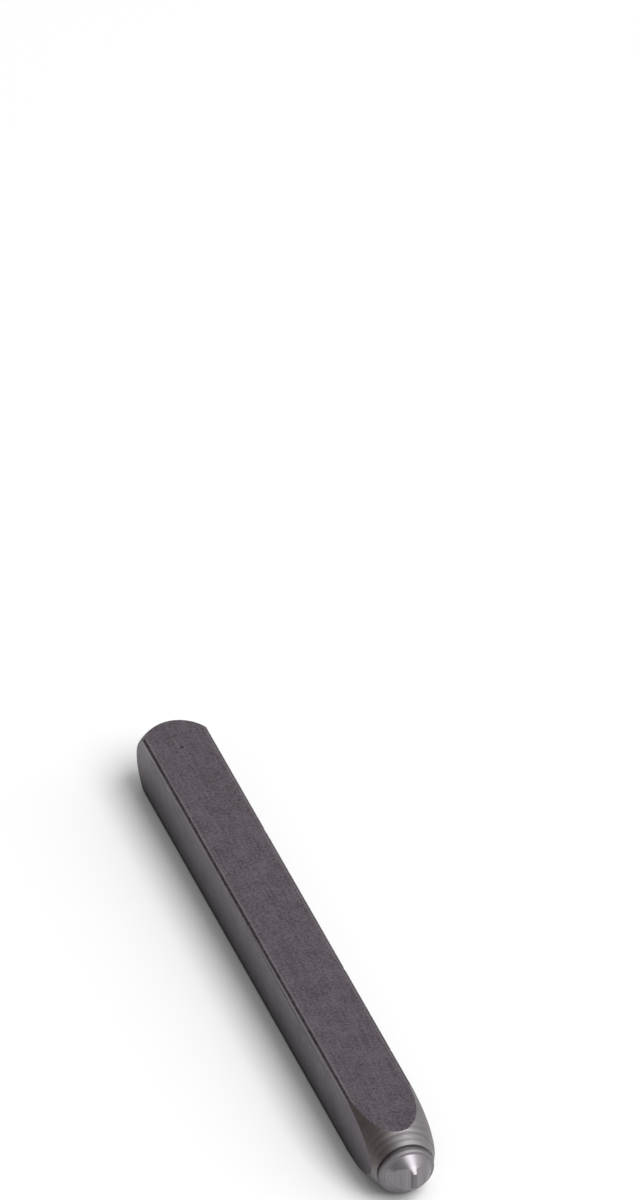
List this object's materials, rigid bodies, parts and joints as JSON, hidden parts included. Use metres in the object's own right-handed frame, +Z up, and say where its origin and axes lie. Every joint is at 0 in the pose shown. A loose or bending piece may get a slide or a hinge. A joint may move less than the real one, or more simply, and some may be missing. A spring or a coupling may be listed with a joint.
{
  "type": "letter punch",
  "caption": "Hand stamp of hardened steel: a square shank with a rounded struck head and a turned nose whose cone carries a raised letter.",
  "frame": {"origin": "under the middle of the bar, on the surface that it lies on", "axes": "+Y along the shank towards the struck head, +Z up from the flat side that it lies on, +X across"},
  "size_m": [0.006, 0.0676, 0.006],
  "materials": {
    "punch_steel": "matt dark grey hardened shank, with a bare turned nose and cone"
  },
  "bodies": {
    "root": {"letter_punch": "punch_steel"}
  },
  "joints": []
}
